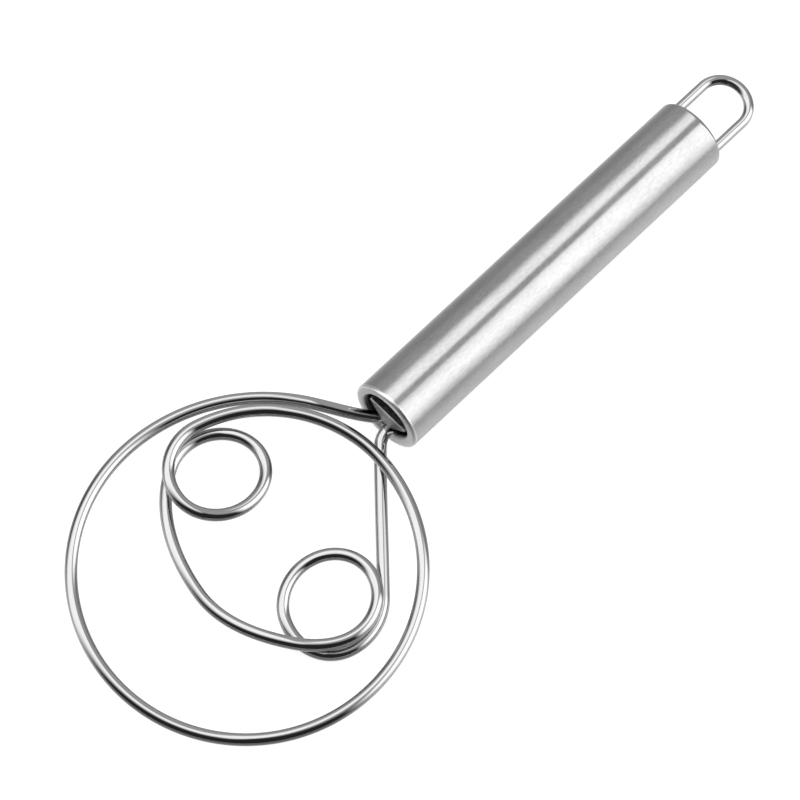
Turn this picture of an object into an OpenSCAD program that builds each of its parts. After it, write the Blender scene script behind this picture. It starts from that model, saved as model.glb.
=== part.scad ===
// Dough whisk: a hollow steel handle, a hanging loop, and one bent wire that forms the whole head.
// The sizes are given with the handle along X, the front mouth at X = 0 and the head towards -X.
// The assembled part then lies at rest: the handle on the floor, rolled over until the ring touches.

/* [Handle] */
// Outer diameter of the handle tube
handle_d = 20; // [18:0.5:24]
// Length of the handle tube from end face to end face
handle_len = 115; // [90:1:150]
// Sheet thickness of the tube
tube_wall = 0.8; // [0.5:0.1:1]
// Outer rounding of the front end
front_edge_r = 0.8; // [0.6:0.1:1.4]
// Outer rounding of the rear end
rear_edge_r = 1.1; // [0.8:0.1:1.1]
// Clear diameter of the front mouth
mouth_d = 13.8; // [13.4:0.1:14.2]
// Thickness of the bead rolled round each mouth
bead_d = 2.8; // [2.4:0.1:3]
// Clear diameter of the rear mouth
rear_mouth_d = 16.9; // [16.8:0.1:17]

/* [Whisk wire] */
// Diameter of the whisk wire
wire_d = 3.2; // [2.6:0.1:3.3]
// Free height between two runs that cross
layer_gap = 0.2; // [0.1:0.1:1]
// How far the middle of the head lies below the handle's axis
head_drop = 3.6; // [2:0.1:4.4]
// Distance between the two legs in the handle, centre to centre
legs_pitch = 3.5; // [3.4:0.1:4]
// Distance of the pair of legs from the handle's axis, to the side
legs_side = 0.25; // [0:0.05:0.5]
// Length of the legs behind the mouth
legs_len = 24; // [16:1:40]
// Depth behind the mouth at which the first leg begins to bend out
leg_a_depth = 2.8; // [2:0.1:4]
// How far the first leg has moved to the side where it leaves the mouth
leg_a_shift = 1.1; // [0.8:0.1:1.2]
// How far ahead of the mouth the second leg begins to bend in
leg_b_ahead = 0.2; // [0:0.1:1]
// How far ahead of the mouth the bend of the second leg ends
bend_b_ahead = 4.6; // [4:0.1:6]
// How far the second leg moves to the side over its bend
leg_b_shift = 2; // [1:0.1:3]

/* [Ring] */
// Length of the ring along the handle, on the wire's centre
ring_len = 89.3; // [80:0.1:110]
// Width of the ring, on the wire's centre
ring_w = 85.3; // [78:0.1:105]
// Distance from the mouth to the ring's near side, on the wire's centre
ring_gap = 7.9; // [6:0.1:14]
// How far the ring's middle lies to the side of the handle's axis
ring_side = 4; // [2:0.5:6]
// How far the end of the ring is tucked in behind its beginning
tuck_in = 5; // [4:0.5:7]
// Length of the straight run from the mouth to the ring
neck_run = 16.4; // [14:0.1:19]

/* [First eye] */
// Length of the first eye, on the wire's centre
eye1_len = 25; // [22:0.5:28]
// Width of the first eye, on the wire's centre
eye1_w = 21.5; // [19:0.5:24]
// Distance from the ring's near side to the first eye's middle
eye1_ahead = 32.2; // [28:0.1:36]
// Room between the tucked end of the ring and the first eye, on the wire's centre
eye1_room = 4.3; // [3.5:0.1:7]

/* [Second eye] */
// Length of the second eye, on the wire's centre
eye2_len = 25; // [22:0.5:28]
// Width of the second eye, on the wire's centre
eye2_w = 22; // [19:0.5:25]
// Distance from the ring's near side to the second eye's middle
eye2_ahead = 35.2; // [31:0.1:38]
// Room between the ring's side and the second eye, on the wire's centre
eye2_room = 10.2; // [6:0.1:12]
// How far the second turn of this eye spreads outside the first
eye2_spread = 2; // [1:0.5:3]

/* [Belly] */
// How far the arc between the eyes bulges ahead of the first eye's middle
belly_bulge = 25.5; // [22:0.5:28]
// How far the arc's foremost point lies beside the line midway between the eyes
belly_side = 2.5; // [0:0.5:5]
// How far ahead of the second eye's middle the arc turns towards it
belly_lead = 15.5; // [14:0.5:17]
// How far outside the second eye's middle the arc turns towards it
belly_out = 1.5; // [0:0.5:3]

/* [Hanging loop] */
// Diameter of the loop's wire
loop_wire_d = 2.7; // [2:0.1:2.8]
// Outer width of the loop
loop_w = 16.7; // [15:0.1:16.7]
// How far the loop stands out behind the handle
loop_reach = 20; // [16:0.5:40]
// Length of the loop's legs inside the rear plug
loop_grip = 10; // [6:1:16]

/* [Plugs and wedge] */
// Length of the front plug
front_plug_len = 18; // [12:1:30]
// Depth of the front plug's face behind the mouth
front_plug_depth = 7; // [5:0.5:10]
// Length of the rear plug
rear_plug_len = 12; // [8:1:20]
// Width of the wedge across its top
wedge_top_w = 12.2; // [10:0.2:12.4]
// Width of the wedge across its foot, which stands on the second leg
wedge_foot_w = 2; // [1.6:0.1:2.4]
// Height of the wedge at its front face
wedge_h = 6.2; // [5.6:0.1:6.3]
// Height of the wedge at its thin end
wedge_end_h = 2.4; // [1.5:0.1:3]
// Length of the wedge
wedge_len = 14; // [10:0.5:20]

/* [Hidden] */

// Fits and clearances
plug_fit = 0.05;      // plug to tube, on the radius
bore_fit = 0.1;       // wire to its bore in a plug, on the radius
wedge_fit = 0.05;     // wedge to the legs below it and to its slot
lip_gap = 0.3;        // legs to the bead of the mouth
wedge_gap = 0.1;      // wedge to the bead of the mouth
wedge_foot_in = 0.8;  // middle of the wedge's foot, from the second leg towards the first
least_r = 0.1;        // smallest rounding inside a corner of the sheet
bite = 1;             // how far a cut runs past the face it opens

// Radii and lengths that follow from the sizes above
handle_r = handle_d / 2;
bore_r = handle_r - tube_wall;
wire_r = wire_d / 2;
mouth_r = mouth_d / 2;
rear_mouth_r = rear_mouth_d / 2;
bead_r = bead_d / 2;
loop_wire_r = loop_wire_d / 2;
loop_r = loop_w / 2 - loop_wire_r;

// Heights of the wire's runs: top and bottom where it crosses itself, legs in the handle
leg_a_y = legs_pitch / 2 - legs_side;
leg_b_y = -legs_pitch / 2 - legs_side;
legs_z = -sqrt(pow(mouth_r - wire_r - lip_gap, 2) - pow(leg_b_y, 2));
layer = wire_d + layer_gap;
top_z = -head_drop + layer / 2;
low_z = -head_drop - layer / 2;

// Centres of the ring and the two eyes
ring_x = -ring_gap - ring_len / 2;
eye1_x = -ring_gap - eye1_ahead;
eye1_y = -ring_side + ring_w / 2 - tuck_in - eye1_w / 2 - eye1_room;
eye2_x = -ring_gap - eye2_ahead;
eye2_y = -ring_side - ring_w / 2 + eye2_spread + eye2_w / 2 + eye2_room;

// Angles on the ring and the eyes at which the wire joins and leaves them
ring_in = 91;
ring_out = 426;
ring_rise_from = 180; // angle from which the ring climbs to the top height
ring_rise = 200;      // turn over which it climbs
tuck_from = 360;      // angle from which the ring's end draws in
tuck_turn = 72;       // turn over which it draws in by the whole tuck
tuck_power = 1.5;     // how late in that turn it draws in
eye1_turn = -13;
eye1_in = 187;
eye1_out = 495;
eye2_turn = 7;
eye2_in = 280;
eye2_out = 671;
eye2_spread_from = 511;
eye2_spread_turn = 90;
eye_fall = 240;       // turn over which an eye's wire drops from the top height to the low one

// Directions of the wire at the neck, in degrees
mouth_dir = 131;
neck_dir = 125.7;
neck_end_dir = 124;
belly_dir = 260;
belly_end_dir = 305;
straight_dir = 44;

// Shares of a height at which something lies
belly_level = 0.4;    // the belly arc's foremost point, between the low and the top height
wedge_shoulder = 0.85;
wedge_top_share = 0.94;

// Fineness of the swept wire
ring_sides = 12;
wire_step = 2;
bend_step = wire_step / 4;
straight_step = wire_step * 3;
$fn = 96;

// One station of the wire is [x, y, z, direction in the plane of the head]
function ease(t) = let (u = max(0, min(1, t))) u * u * (3 - 2 * u);
function mix(a, b, t) = a + (b - a) * t;

// A point on an oval whose long axis is turned, grown by g all round
function on_oval(cx, cy, rx, ry, turn, a, g = 0) =
    let (x = (rx + g) * cos(a), y = (ry + g) * sin(a))
    [cx + x * cos(turn) - y * sin(turn), cy + x * sin(turn) + y * cos(turn)];

function ring_at(a) =
    on_oval(ring_x, -ring_side, ring_len / 2, ring_w / 2, 0, a,
            -tuck_in * pow(max(0, a - tuck_from) / tuck_turn, tuck_power));
function eye1_at(a) = on_oval(eye1_x, eye1_y, eye1_len / 2, eye1_w / 2, eye1_turn, a);
function eye2_at(a) =
    on_oval(eye2_x, eye2_y, eye2_len / 2, eye2_w / 2, eye2_turn, a,
            eye2_spread * ease((a - eye2_spread_from) / eye2_spread_turn));

function ring_z(a) = mix(-head_drop, top_z, ease((a - ring_rise_from) / ring_rise));
function eye1_z(a) = mix(top_z, low_z, ease((a - eye1_in) / eye_fall));
function eye2_z(a) = mix(top_z, low_z, ease((a - eye2_in) / eye_fall));

// The same three curves, picked by number, as 3-D points and as stations
function curve(i, a) = i == 0 ? ring_at(a) : i == 1 ? eye1_at(a) : eye2_at(a);
function height(i, a) = i == 0 ? ring_z(a) : i == 1 ? eye1_z(a) : eye2_z(a);
function station(i, a) =
    let (p = curve(i, a), d = curve(i, a + 0.5) - curve(i, a - 0.5))
    [p.x, p.y, height(i, a), atan2(d.y, d.x)];
function along(i, a0, a1) =
    let (r = norm(curve(i, a0) - curve(i, a0 + 1)) * 180 / PI,
         n = ceil(r * (a1 - a0) * PI / 180 / wire_step))
    [for (k = [0 : n - 1]) let (a = mix(a0, a1, k / n), p = curve(i, a)) [p.x, p.y, height(i, a)]];

// A smooth run from one station to the next, which leaves out its last point
function turn_by(s, e) = let (d = (e[3] - s[3]) % 360) d > 180 ? d - 360 : d < -180 ? d + 360 : d;
function run(s, e, step = wire_step) =
    let (p = [s.x, s.y], q = [e.x, e.y], c = norm(q - p),
         h = c / (3 * pow(cos(turn_by(s, e) / 4), 2)),
         a = p + h * [cos(s[3]), sin(s[3])], b = q - h * [cos(e[3]), sin(e[3])],
         n = max(2, ceil(c / step)))
    [for (k = [0 : n - 1])
        let (t = k / n, u = 1 - t,
             m = u * u * u * p + 3 * u * u * t * a + 3 * u * t * t * b + t * t * t * q)
        [m.x, m.y, mix(s.z, e.z, ease(t))]];

// Stations between the curves, in the order in which the wire runs
leg_a_end = [legs_len, leg_a_y, legs_z, 180];
leg_a_bend = [leg_a_depth, leg_a_y, legs_z, 180];
mouth_a = [0, leg_a_y + leg_a_shift, legs_z, mouth_dir];
neck_a = [mouth_a.x + neck_run * cos(neck_dir), mouth_a.y + neck_run * sin(neck_dir),
          -head_drop, neck_end_dir];
belly_1 = [eye1_x - belly_bulge, (eye1_y + eye2_y) / 2 + belly_side,
           mix(low_z, top_z, belly_level), belly_dir];
belly_2 = [eye2_x - belly_lead, eye2_y - belly_out, top_z, belly_end_dir];
neck_b = [-bend_b_ahead, leg_b_y - leg_b_shift, low_z, straight_dir];
leg_b_bend = [-leg_b_ahead, leg_b_y, legs_z, 0];
leg_b_end = [legs_len, leg_b_y, legs_z, 0];

wire_path = concat(
    [[leg_a_end.x, leg_a_end.y, leg_a_end.z]],
    run(leg_a_bend, mouth_a, bend_step),
    run(mouth_a, neck_a),
    run(neck_a, station(0, ring_in)),
    along(0, ring_in, ring_out),
    run(station(0, ring_out), station(1, eye1_in)),
    along(1, eye1_in, eye1_out),
    run(station(1, eye1_out), belly_1),
    run(belly_1, belly_2),
    run(belly_2, station(2, eye2_in)),
    along(2, eye2_in, eye2_out),
    run(station(2, eye2_out), neck_b, straight_step),
    run(neck_b, leg_b_bend, bend_step),
    [[leg_b_bend.x, leg_b_bend.y, leg_b_bend.z]],
    [[leg_b_end.x, leg_b_end.y, leg_b_end.z]]
);

// Rest: rolled about the handle until the ring's side comes down to the floor, one handle radius
// below the axis, and then moved so that the origin is under the middle of the whole part
function roll_to_floor(p) = atan2(p.y, p.z) + acos(-(handle_r - wire_r) / norm([p.y, p.z]));
rest_roll = min([for (p = wire_path) if (p.y < -handle_r) roll_to_floor(p)]);
rolled_y = [for (p = wire_path) p.y * cos(rest_roll) - p.z * sin(rest_roll)];
mid_y = (min(rolled_y) + max(rolled_y)) / 2;
front_x = min([for (p = wire_path) p.x]) - wire_r;
rear_x = handle_len + loop_reach;
mid_x = (front_x + rear_x) / 2;

module placed() {
    translate([-mid_x, -mid_y, handle_r]) rotate([rest_roll, 0, 0]) children();
}

// A solid of revolution about X, from a profile drawn with X as the radius and Y along the handle
module round_about_x() {
    rotate([90, 0, 90]) rotate_extrude() children();
}

// A closed outline with rounded outer corners at both ends
module capsule_outline(r, y0, y1, r0, r1) {
    translate([0, y0]) square([r - r0, y1 - y0]);
    translate([0, y0 + r0]) square([r, y1 - y0 - r0 - r1]);
    translate([0, y1 - r1]) square([r - r1, r1]);
    translate([r - r0, y0 + r0]) circle(r0);
    translate([r - r1, y1 - r1]) circle(r1);
}

module tube_profile() {
    difference() {
        capsule_outline(handle_r, 0, handle_len, front_edge_r, rear_edge_r);
        capsule_outline(bore_r, tube_wall, handle_len - tube_wall,
                        max(least_r, front_edge_r - tube_wall), max(least_r, rear_edge_r - tube_wall));
        translate([-bite, -bite]) square([mouth_r + bead_r + bite, handle_len / 2]);
        translate([-bite, handle_len / 2]) square([rear_mouth_r + tube_wall / 2 + bite, handle_len]);
    }
    translate([mouth_r + bead_r, bead_r]) circle(bead_r);
    translate([rear_mouth_r + tube_wall / 2, handle_len - tube_wall / 2]) circle(tube_wall / 2);
}

module handle_tube() {
    color("silver") placed() round_about_x() intersection() {
        tube_profile();
        translate([mouth_r, 0]) square([handle_r, handle_len]);
    }
}

// Half of the mouth's width at a height, less the gap to the wedge
function wedge_room(z) = sqrt(pow(mouth_r - wedge_gap, 2) - pow(z, 2));

// The end section of the wedge, wide at the top and narrow over the legs, grown by g all round
module wedge_section(g) {
    mid = (leg_a_y + leg_b_y) / 2;
    z0 = legs_z + wire_r + wedge_fit;
    z1 = z0 + wedge_h * wedge_shoulder;
    z2 = z0 + wedge_h;
    foot_mid = leg_b_y + wedge_foot_in;
    foot = wedge_foot_w / 2 + g;
    side = min(wedge_top_w / 2, wedge_room(z1) - abs(mid)) + g;
    top = min(wedge_top_w / 2 * wedge_top_share, wedge_room(z2) - abs(mid)) + g;
    polygon([[foot_mid - foot, z0 - g], [foot_mid + foot, z0 - g],
             [mid + side, z1], [mid + top, z2 + g], [mid - top, z2 + g], [mid - side, z1]]);
}

// The side view of the wedge, tall at the mouth and thin at its far end
module wedge_side(g) {
    z0 = legs_z + wire_r + wedge_fit;
    polygon([[0, z0 - g], [wedge_len + g, z0 - g],
             [wedge_len + g, z0 + wedge_end_h + g], [0, z0 + wedge_h + g]]);
}

module wedge_shape(g = 0) {
    intersection() {
        rotate([90, 0, 90]) linear_extrude(height = legs_len) wedge_section(g);
        translate([0, handle_r, 0]) rotate([90, 0, 0])
            linear_extrude(height = handle_d) wedge_side(g);
    }
}

module wedge() {
    color("dimgray") placed() wedge_shape();
}

// A straight bore along X for a round wire, open at both ends
module wire_bore(y, z, r, x0, len) {
    translate([x0 - bite, y, z]) rotate([0, 90, 0]) cylinder(r = r, h = len + 2 * bite);
}

module front_plug() {
    r = bore_r - plug_fit;
    hole_r = wire_r + bore_fit;
    color("darkslategray") placed() difference() {
        translate([front_plug_depth, 0, 0]) rotate([0, 90, 0]) cylinder(r = r, h = front_plug_len);
        wire_bore(leg_a_y, legs_z, hole_r, front_plug_depth, front_plug_len);
        wire_bore(leg_b_y, legs_z, hole_r, front_plug_depth, front_plug_len);
        translate([front_plug_depth - bite, leg_b_y, legs_z - hole_r / 2])
            cube([front_plug_len + 2 * bite, leg_a_y - leg_b_y, hole_r]);
        wedge_shape(wedge_fit);
    }
}

// One ring of points round the wire's centre, square to its direction
function ring_points(i) =
    let (n = len(wire_path), p = wire_path[i],
         d = wire_path[min(n - 1, i + 1)] - wire_path[max(0, i - 1)],
         t = d / norm(d), side = cross([0, 0, 1], t), s = side / norm(side), u = cross(t, s))
    [for (k = [0 : ring_sides - 1])
        let (a = 360 * k / ring_sides) p + wire_r * (cos(a) * s + sin(a) * u)];

// A tube swept through the points of a path, closed with a flat face at each end
module whisk_wire() {
    n = len(wire_path);
    m = ring_sides;
    points = [for (i = [0 : n - 1]) each ring_points(i)];
    walls = [for (i = [0 : n - 2], k = [0 : m - 1])
        let (a = i * m + k, b = i * m + (k + 1) % m) each [[a, b, a + m], [b, b + m, a + m]]];
    start = [for (k = [1 : m - 2]) [0, k + 1, k]];
    end = [for (k = [1 : m - 2]) (n - 1) * m * [1, 1, 1] + [0, k, k + 1]];
    color("gainsboro") placed() polyhedron(points = points, faces = concat(walls, start, end));
}

module rear_plug() {
    r = bore_r - plug_fit;
    x1 = handle_len - tube_wall - plug_fit;
    x0 = x1 - rear_plug_len;
    edge = max(least_r, rear_edge_r - tube_wall) + plug_fit;
    color("lightslategray") placed() difference() {
        round_about_x() intersection() {
            capsule_outline(r, x0, x1, edge, edge);
            translate([0, x0]) square([r, rear_plug_len]);
        }
        for (side = [-1, 1])
            wire_bore(side * loop_r, 0, loop_wire_r + bore_fit, x1 - loop_grip, loop_grip);
    }
}

module hang_loop() {
    bend_x = handle_len + loop_reach - loop_wire_r - loop_r;
    leg_x = handle_len - tube_wall - plug_fit - loop_grip;
    color("gainsboro") placed() union() {
        translate([bend_x, 0, 0]) rotate([0, 0, -90])
            rotate_extrude(angle = 180) translate([loop_r, 0]) circle(loop_wire_r);
        for (side = [-1, 1])
            translate([leg_x, side * loop_r, 0]) rotate([0, 90, 0])
                cylinder(r = loop_wire_r, h = bend_x - leg_x);
    }
}

handle_tube();
front_plug();
wedge();
whisk_wire();
rear_plug();
hang_loop();
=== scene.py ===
"""A dough whisk of satin and polished steel, lying on a pale floor in a soft studio."""
from math import atan2, ceil, cos, degrees, pi, radians, sin

import bpy
import numpy as np
from mathutils import Matrix, Vector


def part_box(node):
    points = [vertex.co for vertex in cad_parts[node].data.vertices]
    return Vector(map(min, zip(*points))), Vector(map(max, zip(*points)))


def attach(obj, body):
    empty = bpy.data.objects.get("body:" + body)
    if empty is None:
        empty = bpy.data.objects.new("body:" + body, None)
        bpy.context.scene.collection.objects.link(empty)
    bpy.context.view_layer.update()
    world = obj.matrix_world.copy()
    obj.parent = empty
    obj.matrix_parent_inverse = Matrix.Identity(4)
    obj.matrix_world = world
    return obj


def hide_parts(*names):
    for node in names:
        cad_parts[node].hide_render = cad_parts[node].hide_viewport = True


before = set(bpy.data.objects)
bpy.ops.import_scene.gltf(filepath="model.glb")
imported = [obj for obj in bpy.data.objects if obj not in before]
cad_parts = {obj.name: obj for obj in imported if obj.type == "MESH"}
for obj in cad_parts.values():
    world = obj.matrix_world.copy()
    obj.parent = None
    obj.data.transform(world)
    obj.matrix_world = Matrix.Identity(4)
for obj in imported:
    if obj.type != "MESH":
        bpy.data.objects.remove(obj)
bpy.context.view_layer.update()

MM = 0.001

# Places read from the frame: the handle's axis, its mouth and the roll at which the whisk rests
TUBE_LOW, TUBE_HIGH = (Vector(corner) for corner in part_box("handle_tube"))
LOOP_LOW, LOOP_HIGH = (Vector(corner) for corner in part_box("hang_loop"))
LOOP_WIRE_R = 1.35 * MM
MOUTH = Vector((TUBE_LOW.x, (TUBE_LOW.y + TUBE_HIGH.y) / 2, (TUBE_LOW.z + TUBE_HIGH.z) / 2))
REST_ROLL = atan2(
    (LOOP_HIGH.z - LOOP_LOW.z) / 2 - LOOP_WIRE_R,
    (LOOP_HIGH.y - LOOP_LOW.y) / 2 - LOOP_WIRE_R,
)
# From the whisk's own axes (mouth at the origin, handle along X, head flat) to the frame
PLACED = Matrix.Translation(MOUTH) @ Matrix.Rotation(REST_ROLL, 4, "X")

# Sizes of the bent wire as in the part's source, in millimetres and degrees. Places are given from
# the mouth. Leg A is the leg at the ring's start, and leg B the one after the second eye
WIRE_R = 1.6
LAYER = 3.4
HEAD_Z = -3.6
TOP_Z = HEAD_Z + LAYER / 2
LOW_Z = HEAD_Z - LAYER / 2
LEG_A_Y = 1.5
LEG_B_Y = -2.0
LEGS_Z = -4.58258
LEGS_LEN = 24
LEG_A_DEPTH = 2.8
LEG_A_SHIFT = 1.1
LEG_B_AHEAD = 0.2
BEND_B_AHEAD = 4.6
LEG_B_SHIFT = 2
RING_CENTRE = (-52.55, -4)
RING_RADII = (44.65, 42.65)
RING_SPAN = (91, 426)
RING_RISE_FROM = 180
RING_RISE_RUN = 200
TUCK_IN = 5
TUCK_FROM = 360
TUCK_RUN = 72
TUCK_POWER = 1.5
EYE_1_CENTRE = (-40.1, 18.6)
EYE_1_RADII = (12.5, 10.75)
EYE_1_TURN = -13
EYE_1_SPAN = (187, 495)
EYE_2_CENTRE = (-43.1, -23.45)
EYE_2_RADII = (12.5, 11)
EYE_2_TURN = 7
EYE_2_SPAN = (280, 671)
EYE_2_SPREAD = 2
EYE_2_SPREAD_FROM = 511
EYE_2_SPREAD_RUN = 90
EYE_FALL = 240
NECK_RUN = 16.4
NECK_DIR = 125.7
BELLY_BULGE = 25.5
BELLY_SIDE = 2.5
BELLY_LEAD = 15.5
BELLY_OUT = 1.5
BELLY_RISE = 0.4
# Directions of the wire where one run meets the next
LEG_A_DIR = 180
MOUTH_A_DIR = 131
NECK_A_DIR = 124
BELLY_1_DIR = 260
BELLY_2_DIR = 305
NECK_B_DIR = 44
LEG_B_DIR = 0
# Length of a step along the path, half the angle over which the direction of a ring or an eye is
# taken, and the number of sides of the wire
STEP = 0.5
HALF_STEP_ANGLE = 0.5
WIRE_SIDES = 40


# The wire's path. A station is (x, y, z, direction in the plane of the head)
def ease(t):
    u = max(0.0, min(1.0, t))
    return u * u * (3 - 2 * u)


def mix(a, b, t):
    return a + (b - a) * t


def on_oval(centre, radii, turn, angle, grow=0.0):
    x = (radii[0] + grow) * cos(radians(angle))
    y = (radii[1] + grow) * sin(radians(angle))
    c, s = cos(radians(turn)), sin(radians(turn))
    return np.array([centre[0] + x * c - y * s, centre[1] + x * s + y * c])


def ring_at(a):
    tuck = TUCK_IN * (max(0, a - TUCK_FROM) / TUCK_RUN) ** TUCK_POWER
    return on_oval(RING_CENTRE, RING_RADII, 0, a, -tuck)


def eye_1_at(a):
    return on_oval(EYE_1_CENTRE, EYE_1_RADII, EYE_1_TURN, a)


def eye_2_at(a):
    grow = EYE_2_SPREAD * ease((a - EYE_2_SPREAD_FROM) / EYE_2_SPREAD_RUN)
    return on_oval(EYE_2_CENTRE, EYE_2_RADII, EYE_2_TURN, a, grow)


def ring_z(a):
    return mix(HEAD_Z, TOP_Z, ease((a - RING_RISE_FROM) / RING_RISE_RUN))


def eye_1_z(a):
    return mix(TOP_Z, LOW_Z, ease((a - EYE_1_SPAN[0]) / EYE_FALL))


def eye_2_z(a):
    return mix(TOP_Z, LOW_Z, ease((a - EYE_2_SPAN[0]) / EYE_FALL))


def station(curve, height, a):
    p = curve(a)
    d = curve(a + HALF_STEP_ANGLE) - curve(a - HALF_STEP_ANGLE)
    return (p[0], p[1], height(a), degrees(atan2(d[1], d[0])))


def along(curve, height, span):
    """Points along a ring or an eye, without the last."""
    a0, a1 = span
    radius = np.linalg.norm(curve(a0) - curve(a0 + 1)) * 180 / pi
    n = ceil(radius * radians(a1 - a0) / STEP)
    angles = [mix(a0, a1, k / n) for k in range(n)]
    return [(*curve(a), height(a)) for a in angles]


def run(start, end):
    """A smooth run between two stations, without its last point."""
    p, q = np.array(start[:2]), np.array(end[:2])
    chord = np.linalg.norm(q - p)
    turn = (end[3] - start[3] + 180) % 360 - 180
    reach = chord / (3 * cos(radians(turn / 4)) ** 2)
    a = p + reach * np.array([cos(radians(start[3])), sin(radians(start[3]))])
    b = q - reach * np.array([cos(radians(end[3])), sin(radians(end[3]))])
    n = max(2, ceil(chord / STEP))
    points = []
    for k in range(n):
        t = k / n
        u = 1 - t
        m = u ** 3 * p + 3 * u * u * t * a + 3 * u * t * t * b + t ** 3 * q
        points.append((m[0], m[1], mix(start[2], end[2], ease(t))))
    return points


def wire_path():
    """The middle of the wire from the end of the first leg to the end of the second."""
    bend_a = (LEG_A_DEPTH, LEG_A_Y, LEGS_Z, LEG_A_DIR)
    mouth_a = (0, LEG_A_Y + LEG_A_SHIFT, LEGS_Z, MOUTH_A_DIR)
    neck_a = (
        mouth_a[0] + NECK_RUN * cos(radians(NECK_DIR)),
        mouth_a[1] + NECK_RUN * sin(radians(NECK_DIR)),
        HEAD_Z,
        NECK_A_DIR,
    )
    belly_1 = (
        EYE_1_CENTRE[0] - BELLY_BULGE,
        (EYE_1_CENTRE[1] + EYE_2_CENTRE[1]) / 2 + BELLY_SIDE,
        mix(LOW_Z, TOP_Z, BELLY_RISE),
        BELLY_1_DIR,
    )
    belly_2 = (
        EYE_2_CENTRE[0] - BELLY_LEAD,
        EYE_2_CENTRE[1] - BELLY_OUT,
        TOP_Z,
        BELLY_2_DIR,
    )
    neck_b = (-BEND_B_AHEAD, LEG_B_Y - LEG_B_SHIFT, LOW_Z, NECK_B_DIR)
    bend_b = (-LEG_B_AHEAD, LEG_B_Y, LEGS_Z, LEG_B_DIR)
    ring_start, ring_end = (station(ring_at, ring_z, a) for a in RING_SPAN)
    eye_1_start, eye_1_end = (station(eye_1_at, eye_1_z, a) for a in EYE_1_SPAN)
    eye_2_start, eye_2_end = (station(eye_2_at, eye_2_z, a) for a in EYE_2_SPAN)
    points = [(LEGS_LEN, LEG_A_Y, LEGS_Z)]
    points += run(bend_a, mouth_a)
    points += run(mouth_a, neck_a)
    points += run(neck_a, ring_start)
    points += along(ring_at, ring_z, RING_SPAN)
    points += run(ring_end, eye_1_start)
    points += along(eye_1_at, eye_1_z, EYE_1_SPAN)
    points += run(eye_1_end, belly_1)
    points += run(belly_1, belly_2)
    points += run(belly_2, eye_2_start)
    points += along(eye_2_at, eye_2_z, EYE_2_SPAN)
    points += run(eye_2_end, neck_b)
    points += run(neck_b, bend_b)
    points += [bend_b[:3], (LEGS_LEN, LEG_B_Y, LEGS_Z)]
    return np.array(points)


def swept_tube(name, path, radius, sides):
    """A smooth tube along a path in whisk millimetres. UVs: metres along and turns around."""
    n = len(path)
    ahead = path[np.minimum(np.arange(n) + 1, n - 1)]
    behind = path[np.maximum(np.arange(n) - 1, 0)]
    tangent = (ahead - behind) / np.linalg.norm(ahead - behind, axis=1)[:, None]
    side = np.cross((0, 0, 1), tangent)
    side /= np.linalg.norm(side, axis=1)[:, None]
    up = np.cross(tangent, side)
    angle = 2 * pi * np.arange(sides) / sides
    rings = path[:, None] + radius * (
        np.cos(angle)[None, :, None] * side[:, None] + np.sin(angle)[None, :, None] * up[:, None]
    )
    points = [PLACED @ (Vector(p) * MM) for p in rings.reshape(-1, 3)]
    faces = []
    for i in range(n - 1):
        for k in range(sides):
            a, b = i * sides + k, i * sides + (k + 1) % sides
            faces.append((a, b, b + sides, a + sides))
    faces.append(tuple(reversed(range(sides))))
    faces.append(tuple((n - 1) * sides + k for k in range(sides)))
    mesh = bpy.data.meshes.new(name)
    mesh.from_pydata(points, [], faces)
    steps = np.linalg.norm(np.diff(path, axis=0), axis=1)
    run_length = np.concatenate([[0], np.cumsum(steps)]) * MM
    uv = mesh.uv_layers.new(name="along_and_around")
    for i in range(n - 1):
        for k in range(sides):
            first = 4 * (i * sides + k)
            around = (k / sides, (k + 1) / sides)
            uv.data[first].uv = (run_length[i], around[0])
            uv.data[first + 1].uv = (run_length[i], around[1])
            uv.data[first + 2].uv = (run_length[i + 1], around[1])
            uv.data[first + 3].uv = (run_length[i + 1], around[0])
    mesh.shade_smooth()
    for end_cap in mesh.polygons[-2:]:
        end_cap.use_smooth = False
    obj = bpy.data.objects.new(name, mesh)
    bpy.context.scene.collection.objects.link(obj)
    return obj


# Materials. Noise is spread over the part of its range in which most of its values lie
NOISE_LOW = 0.3
NOISE_HIGH = 0.7
NOISE_ROUGHNESS = 0.55


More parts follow.
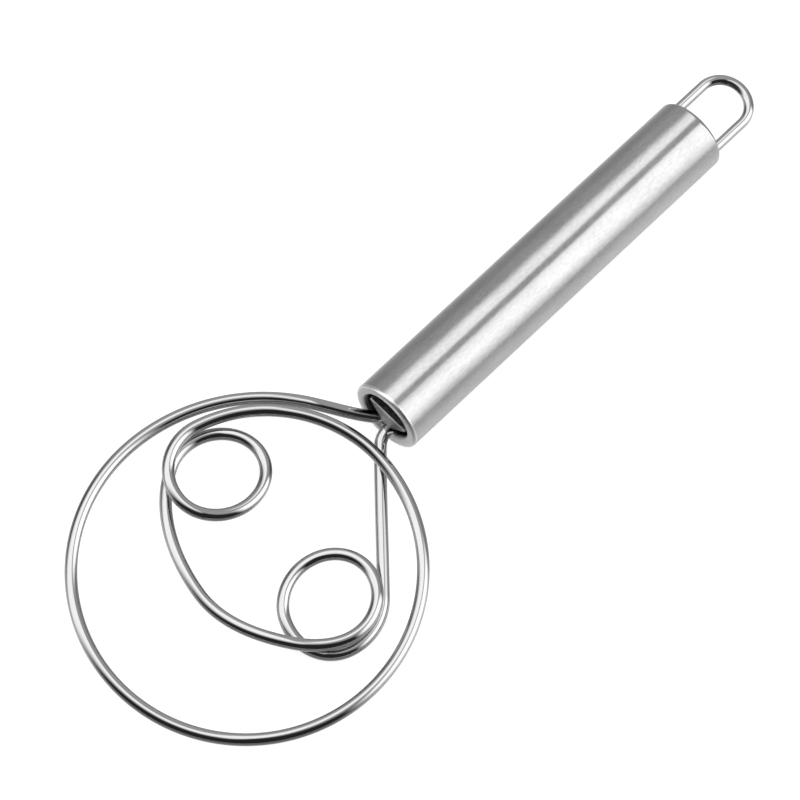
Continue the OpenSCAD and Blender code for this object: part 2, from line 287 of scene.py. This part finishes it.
class Material:
    """A node material with short calls for what the metals need."""

    def __init__(self, name):
        self.material = bpy.data.materials.new(name)
        self.material.use_nodes = True
        self.tree = self.material.node_tree
        self.shader = self.tree.nodes["Principled BSDF"]

    def node(self, kind, **settings):
        node = self.tree.nodes.new(kind)
        for key, value in settings.items():
            setattr(node, key, value)
        return node

    def link(self, start, end):
        self.tree.links.new(start, end)

    def stretched(self, output, scale):
        """Texture coordinates scaled unevenly, so that noise turns into streaks."""
        coordinates = self.node("ShaderNodeTexCoord")
        mapping = self.node("ShaderNodeMapping")
        mapping.inputs["Scale"].default_value = scale
        self.link(coordinates.outputs[output], mapping.inputs["Vector"])
        return mapping.outputs["Vector"]

    def math(self, operation, *values):
        node = self.node("ShaderNodeMath", operation=operation)
        for socket, value in zip(node.inputs, values):
            if isinstance(value, (int, float)):
                socket.default_value = value
            else:
                self.link(value, socket)
        return node.outputs[0]

    def noise(self, output, scale, detail):
        """Noise in an object's or a UV map's coordinates, with a scale for each axis."""
        noise = self.node("ShaderNodeTexNoise")
        noise.inputs["Scale"].default_value = 1.0
        noise.inputs["Detail"].default_value = detail
        noise.inputs["Roughness"].default_value = NOISE_ROUGHNESS
        self.link(self.stretched(output, scale), noise.inputs["Vector"])
        return noise.outputs["Fac"]

    def span(self, value, low, high, start=NOISE_LOW, end=NOISE_HIGH):
        """From low to high while a value goes from start to end."""
        spread = self.node("ShaderNodeMapRange")
        spread.inputs["From Min"].default_value = start
        spread.inputs["From Max"].default_value = end
        spread.inputs["To Min"].default_value = low
        spread.inputs["To Max"].default_value = high
        self.link(value, spread.inputs["Value"])
        return spread.outputs["Result"]

    def greys(self, value, low, high, blue):
        """From a low to a high grey, with a touch more blue, while noise goes over its range."""
        ramp = self.node("ShaderNodeValToRGB")
        ends = zip(ramp.color_ramp.elements, (NOISE_LOW, NOISE_HIGH), (low, high))
        for element, position, grey in ends:
            element.position = position
            element.color = (grey, grey, grey + blue, 1)
        self.link(value, ramp.inputs["Fac"])
        return ramp.outputs["Color"]

    def blend(self, colour, grey, factor):
        """A colour that turns into a plain grey where the factor is 1."""
        blend = self.node("ShaderNodeMix", data_type="RGBA")
        a, b = (socket for socket in blend.inputs if socket.type == "RGBA")
        self.link(factor, blend.inputs["Factor"])
        self.link(colour, a)
        b.default_value = (grey, grey, grey, 1)
        return next(socket for socket in blend.outputs if socket.type == "RGBA")

    def place(self, direction):
        """How far the surface lies from the mouth's middle in a direction of the whisk."""
        facing = PLACED.to_3x3() @ Vector(direction)
        dot = self.node("ShaderNodeVectorMath", operation="DOT_PRODUCT")
        self.link(self.node("ShaderNodeTexCoord").outputs["Object"], dot.inputs[0])
        dot.inputs[1].default_value = facing
        return self.math("SUBTRACT", dot.outputs["Value"], facing.dot(MOUTH))

    def on_lip(self):
        """1 on the rolled lip of the mouth and inside it, 0 on the tube's outside."""
        along, y, z = (self.place(axis) for axis in ((1, 0, 0), (0, 1, 0), (0, 0, 1)))
        squares = self.math("ADD", self.math("MULTIPLY", y, y), self.math("MULTIPLY", z, z))
        radius = self.math("POWER", squares, 0.5)
        front = self.span(along, 1.0, 0.0, LIP_LEN, LIP_LEN + LIP_BLUR)
        inside = self.span(radius, 1.0, 0.0, LIP_R, LIP_R + LIP_BLUR)
        return self.math("MAXIMUM", front, inside)

    def bump(self, height, strength, distance):
        bump = self.node("ShaderNodeBump")
        bump.inputs["Strength"].default_value = strength
        bump.inputs["Distance"].default_value = distance
        self.link(height, bump.inputs["Height"])
        self.link(bump.outputs["Normal"], self.shader.inputs["Normal"])


# The lip of the mouth: how far it reaches along the tube, the radius inside which it lies and the
# width over which it turns into the satin
LIP_ROUGHNESS = 0.34
# Painted light: the lip and the inside of the mouth get a brighter grey than the tube's steel,
# standing for the light on them
LIP_PAINTED_LIGHT = 0.85
LIP_LEN = 0.7 * MM
LIP_R = 8.7 * MM
LIP_BLUR = 0.6 * MM
# For each material: the range of its greys and of its roughness, and its bump as strength and
# height. A noise has a scale along the handle and two across it. The bent wire's lines are in UV
BLUE = 0.005
SATIN_GREYS = (0.43, 0.56)
SATIN_ROUGHNESS = (0.12, 0.18)
SATIN_BUMP = (0.5, 0.3 * MM)
STREAKS = (14, 900, 900)
GRAIN = (700, 1600, 1600)
CLOUDS = (60, 160, 160)
WAVES = (22, 70, 70)
BRUSHING = 0.35
STREAK_SHARE = 0.008
WIRE_GREYS = (0.50, 0.56)
WIRE_ROUGHNESS = (0.06, 0.11)
WIRE_BUMP = (0.05, 0.01 * MM)
LOOP_LINES = (20, 900, 900)
WIRE_LINES = (20, 40, 1)
WEDGE_GREYS = (0.22, 0.58)
WEDGE_ROUGHNESS = (0.38, 0.55)
WEDGE_BUMP = (0.5, 0.1 * MM)
WEDGE_GRAIN = (900, 1500, 1500)
# The plugs' near-black: black plastic, and in the mouth also painted shade for the gap above the
# wedge
PLUG_GREYS_AND_SHADE = (0.010, 0.022)
PLASTIC_BLUE = 0.001
PLASTIC_ROUGHNESS = (0.5, 0.65)
PLASTIC_BUMP = (0.3, 0.05 * MM)
PLASTIC_GRAIN = (2500, 2500, 2500)
# The wedge's painted highlight along its top front edge: the height of its top edge over the
# mouth's middle, the highlight's width and blur, its grey, and how far behind the mouth a face
# still counts as the front
WEDGE_TOP = 3.27 * MM
EDGE_HIGHLIGHT_WIDTH = 0.6 * MM
EDGE_HIGHLIGHT_BLUR = 0.3 * EDGE_HIGHLIGHT_WIDTH
EDGE_HIGHLIGHT_GREY = 0.95
FRONT_FACE = (0.02 * MM, 0.04 * MM)


def satin_steel():
    """Stainless tube, brushed along its length, with a fine grain and faint clouds, and painted
    light: a brighter grey on its lip and inside the mouth.
    """
    m = Material("satin_steel")
    m.shader.inputs["Metallic"].default_value = 1.0
    m.shader.inputs["Anisotropic"].default_value = BRUSHING
    streaks = m.noise("Object", STREAKS, detail=4)
    grain = m.noise("Object", GRAIN, detail=2)
    clouds = m.noise("Object", CLOUDS, detail=3)
    mottle = m.math("MULTIPLY", m.math("ADD", grain, clouds), 0.5)
    lip = m.on_lip()
    brushed = m.greys(mottle, *SATIN_GREYS, BLUE)
    # Painted light: the lip and the inside of the mouth blend into the brighter grey
    m.link(m.blend(brushed, LIP_PAINTED_LIGHT, lip), m.shader.inputs["Base Color"])
    satin = m.span(mottle, *SATIN_ROUGHNESS)
    dull = m.math("MULTIPLY", lip, LIP_ROUGHNESS)
    m.link(m.math("MAXIMUM", satin, dull), m.shader.inputs["Roughness"])
    waves = m.noise("Object", WAVES, detail=1)
    m.bump(m.math("MULTIPLY_ADD", streaks, STREAK_SHARE, waves), *SATIN_BUMP)
    tangent = m.node("ShaderNodeTangent", direction_type="RADIAL", axis="X")
    m.link(tangent.outputs["Tangent"], m.shader.inputs["Tangent"])
    return m.material


def polished_steel(name, output, scale):
    """Drawn and polished wire, with the faintest lines along it."""
    m = Material(name)
    m.shader.inputs["Metallic"].default_value = 1.0
    lines = m.noise(output, scale, detail=2)
    m.link(m.greys(lines, *WIRE_GREYS, BLUE), m.shader.inputs["Base Color"])
    m.link(m.span(lines, *WIRE_ROUGHNESS), m.shader.inputs["Roughness"])
    m.bump(lines, *WIRE_BUMP)
    return m.material


def cut_steel():
    """The wedge: dull steel with the grain of its cut faces, and a painted highlight, a bright grey
    along its top front edge.
    """
    m = Material("wedge_steel")
    m.shader.inputs["Metallic"].default_value = 1.0
    grain = m.noise("Object", WEDGE_GRAIN, detail=4)
    dull = m.greys(grain, *WEDGE_GREYS, BLUE)
    # Painted highlight: the front face is painted bright along its top edge, standing for the light
    # that edge catches
    face = m.span(m.place((1, 0, 0)), 1.0, 0.0, *FRONT_FACE)
    highlight_from = WEDGE_TOP - EDGE_HIGHLIGHT_WIDTH
    edge = m.span(m.place((0, 0, 1)), 0.0, 1.0, highlight_from - EDGE_HIGHLIGHT_BLUR, highlight_from)
    painted_highlight = m.math("MULTIPLY", face, edge)
    m.link(m.blend(dull, EDGE_HIGHLIGHT_GREY, painted_highlight), m.shader.inputs["Base Color"])
    m.link(m.span(grain, *WEDGE_ROUGHNESS), m.shader.inputs["Roughness"])
    m.bump(grain, *WEDGE_BUMP)
    return m.material


def plug_plastic():
    """Moulded black plastic of the two plugs; in the mouth the front plug's near-black is also
    painted shade, filling the gap above the wedge.
    """
    m = Material("plug_plastic")
    grain = m.noise("Object", PLASTIC_GRAIN, detail=2)
    m.link(m.greys(grain, *PLUG_GREYS_AND_SHADE, PLASTIC_BLUE), m.shader.inputs["Base Color"])
    m.link(m.span(grain, *PLASTIC_ROUGHNESS), m.shader.inputs["Roughness"])
    m.bump(grain, *PLASTIC_BUMP)
    return m.material


def dress(obj, material):
    obj.data.materials.clear()
    obj.data.materials.append(material)


def make_whisk():
    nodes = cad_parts
    dress(nodes["handle_tube"], satin_steel())
    dress(nodes["hang_loop"], polished_steel("loop_steel", "Object", LOOP_LINES))
    dress(nodes["wedge"], cut_steel())
    black = plug_plastic()
    # The front plug's near-black stands in the mouth as painted shade above the wedge
    dress(nodes["front_plug"], black)
    dress(nodes["rear_plug"], black)
    wire = swept_tube("bent_wire", wire_path(), WIRE_R, WIRE_SIDES)
    dress(wire, polished_steel("polished_steel", "UV", WIRE_LINES))
    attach(wire, "root")
    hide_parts("whisk_wire")


# Camera: a long lens that looks along the direction fitted to the photograph. The mouth's place
# and the scale there are in pixels, and the distance and the sensor in millimetres
IMAGE_PX = 800
MOUTH_PX = (384.86, 417.75)
PX_PER_MM = 4.01
DISTANCE = 1300
SENSOR = 36
TILT = radians(20.7)
HANDLE_DIR = radians(42.85)
CAMERA_ROLL = radians(8.5)
CLIP_START = 0.01


def camera_axes():
    """Right, up and back of the camera in the frame, and its place."""
    y = Vector((0, cos(CAMERA_ROLL), sin(CAMERA_ROLL)))
    z = Vector((0, -sin(CAMERA_ROLL), cos(CAMERA_ROLL)))
    x = Vector((1, 0, 0))
    handle = cos(TILT) * x + sin(TILT) * z
    back = -sin(TILT) * x + cos(TILT) * z
    right = cos(HANDLE_DIR) * handle - sin(HANDLE_DIR) * y
    up = sin(HANDLE_DIR) * handle + cos(HANDLE_DIR) * y
    shift_x = (MOUTH_PX[0] - IMAGE_PX / 2) / PX_PER_MM
    shift_y = (IMAGE_PX / 2 - MOUTH_PX[1]) / PX_PER_MM
    place = (DISTANCE * back - shift_x * right - shift_y * up) * MM
    turn = PLACED.to_3x3()
    return turn @ right, turn @ up, turn @ back, PLACED @ place


RIGHT, UP, BACK, PLACE = camera_axes()


def make_camera():
    data = bpy.data.cameras.new("camera")
    data.sensor_width = SENSOR
    data.lens = SENSOR * PX_PER_MM * DISTANCE / IMAGE_PX
    data.clip_start = CLIP_START
    camera = bpy.data.objects.new("camera", data)
    axes = Matrix((RIGHT, UP, BACK)).transposed().to_4x4()
    camera.matrix_world = Matrix.Translation(PLACE) @ axes
    bpy.context.scene.collection.objects.link(camera)
    bpy.context.scene.camera = camera


# Studio: two soft boxes, parted by a dark gap, in a dark room that is lit on one side. Each edge of
# a box is a cone round a direction, given as (right, up, towards the viewer) in the photograph,
# with the cosine of the cone's angle and the softness of that cosine. Only the camera sees white
# beyond the floor: the metal mirrors this studio, whose dark parts give its dark bands
WHITE = 2.07
SIDE_SHARE = 1.2
ROOM = 0.62
DARK = 0.035
GAP_PLANE = (-0.936, 0.203, 0.287)
GAP_HALF = 0.07
GAP_SOFTNESS = 0.022
SIDE_SHIFT = 0.08
BIG_BOX = [
    (GAP_PLANE, GAP_HALF, GAP_SOFTNESS),
    ((-0.108, 0.963, -0.242), -0.080, 0.317),
    ((0.226, -0.499, 0.838), -0.220, 0.287),
]
SIDE_BOX = [
    (tuple(-v for v in GAP_PLANE), GAP_HALF + SIDE_SHIFT, GAP_SOFTNESS),
    ((0.803, 0.456, -0.385), 0.294, 0.107),
    ((0.0, 1.0, 0.0), -0.34, 0.353),
    ((0.478, -0.650, 0.590), 0.237, 0.086),
]
LIT_ROOM = [
    (GAP_PLANE, -0.79, 0.60),
    ((0.378, 0.926, 0.0), 0.325, 0.133),
    ((0.662, 0.749, -0.018), 0.284, 0.264),
]


class World:
    """The studio's light as seen in each direction."""

    def __init__(self):
        world = bpy.data.worlds.new("studio")
        world.use_nodes = True
        bpy.context.scene.world = world
        self.tree = world.node_tree
        self.tree.nodes.clear()
        self.direction = self.tree.nodes.new("ShaderNodeTexCoord").outputs["Generated"]

    def math(self, operation, a, b):
        node = self.tree.nodes.new("ShaderNodeMath")
        node.operation = operation
        for socket, value in zip(node.inputs, (a, b)):
            if isinstance(value, (int, float)):
                socket.default_value = value
            else:
                self.tree.links.new(value, socket)
        return node.outputs[0]

    def within(self, towards, edge, softness):
        """1 for directions inside the cone that an edge makes, and 0 outside it."""
        facing = towards[0] * RIGHT + towards[1] * UP + towards[2] * BACK
        dot = self.tree.nodes.new("ShaderNodeVectorMath")
        dot.operation = "DOT_PRODUCT"
        dot.inputs[1].default_value = facing.normalized()
        self.tree.links.new(self.direction, dot.inputs[0])
        step = self.tree.nodes.new("ShaderNodeMapRange")
        step.interpolation_type = "SMOOTHSTEP"
        step.inputs["From Min"].default_value = edge - softness
        step.inputs["From Max"].default_value = edge + softness
        self.tree.links.new(dot.outputs["Value"], step.inputs["Value"])
        return step.outputs["Result"]

    def all_of(self, masks):
        product = masks[0]
        for mask in masks[1:]:
            product = self.math("MULTIPLY", product, mask)
        return product

    def finish(self, strength):
        background = self.tree.nodes.new("ShaderNodeBackground")
        output = self.tree.nodes.new("ShaderNodeOutputWorld")
        self.tree.links.new(strength, background.inputs["Strength"])
        self.tree.links.new(background.outputs[0], output.inputs["Surface"])


def make_studio():
    world = World()
    big, side, room = (
        world.all_of([world.within(*edge) for edge in edges])
        for edges in (BIG_BOX, SIDE_BOX, LIT_ROOM)
    )
    side = world.math("MULTIPLY", side, SIDE_SHARE)
    boxes = world.math("MULTIPLY", world.math("ADD", big, side), WHITE)
    room = world.math("ADD", world.math("MULTIPLY", room, ROOM), DARK)
    studio = world.math("MAXIMUM", boxes, room)
    seen = world.tree.nodes.new("ShaderNodeLightPath")
    hidden = world.math("SUBTRACT", 1.0, seen.outputs["Is Camera Ray"])
    lit = world.math("MULTIPLY", studio, hidden)
    world.finish(world.math("ADD", seen.outputs["Is Camera Ray"], lit))


# Floor: a pale, glowing acrylic table. It glows most where it is looked at squarely. The metal
# mirrors a weaker glow, which falls off faster, and the table's gloss, as in the photograph, where
# the lower sides are dark
FLOOR_SIZE = 4.0
FLOOR_DROP = 0.2 * MM
FLOOR_COLOUR = 0.4
GLOW = 0.9
GLOW_FALL = 0.4
MIRRORED_GLOW = 0.575
MIRRORED_FALL = 3.0
GLOSS = 0.45
GLOSS_COLOUR = 0.85
GLOSS_ROUGHNESS = 0.3


def make_floor():
    mesh = bpy.data.meshes.new("floor")
    half = FLOOR_SIZE / 2
    corners = [(-half, -half), (half, -half), (half, half), (-half, half)]
    mesh.from_pydata([(x, y, -FLOOR_DROP) for x, y in corners], [], [(0, 1, 2, 3)])
    floor = bpy.data.objects.new("floor", mesh)
    bpy.context.scene.collection.objects.link(floor)
    m = Material("floor")
    m.shader.inputs["Base Color"].default_value = (FLOOR_COLOUR, FLOOR_COLOUR, FLOOR_COLOUR, 1)
    m.shader.inputs["Roughness"].default_value = 1.0
    m.shader.inputs["Specular IOR Level"].default_value = 0.0
    m.shader.inputs["Emission Color"].default_value = (1, 1, 1, 1)
    geometry = m.node("ShaderNodeNewGeometry")
    square = m.node("ShaderNodeVectorMath", operation="DOT_PRODUCT")
    m.link(geometry.outputs["Incoming"], square.inputs[0])
    m.link(geometry.outputs["Normal"], square.inputs[1])
    facing = square.outputs["Value"]
    glow = m.math("MULTIPLY", m.math("POWER", facing, GLOW_FALL), GLOW)
    weaker = m.math("MULTIPLY", m.math("POWER", facing, MIRRORED_FALL), MIRRORED_GLOW)
    seen = m.node("ShaderNodeLightPath")
    mirrored = m.math("MAXIMUM", seen.outputs["Is Glossy Ray"], seen.outputs["Is Transmission Ray"])
    loss = m.math("MULTIPLY", m.math("SUBTRACT", glow, weaker), mirrored)
    m.link(m.math("SUBTRACT", glow, loss), m.shader.inputs["Emission Strength"])
    gloss = m.node("ShaderNodeBsdfAnisotropic")
    gloss.inputs["Color"].default_value = (GLOSS_COLOUR, GLOSS_COLOUR, GLOSS_COLOUR, 1)
    gloss.inputs["Roughness"].default_value = GLOSS_ROUGHNESS
    both = m.node("ShaderNodeMixShader")
    m.link(m.math("MULTIPLY", mirrored, GLOSS), both.inputs["Fac"])
    m.link(m.shader.outputs["BSDF"], both.inputs[1])
    m.link(gloss.outputs["BSDF"], both.inputs[2])
    m.link(both.outputs["Shader"], m.tree.nodes["Material Output"].inputs["Surface"])
    dress(floor, m.material)


make_whisk()
make_camera()
make_studio()
make_floor()
bpy.context.scene.view_settings.view_transform = "Standard"
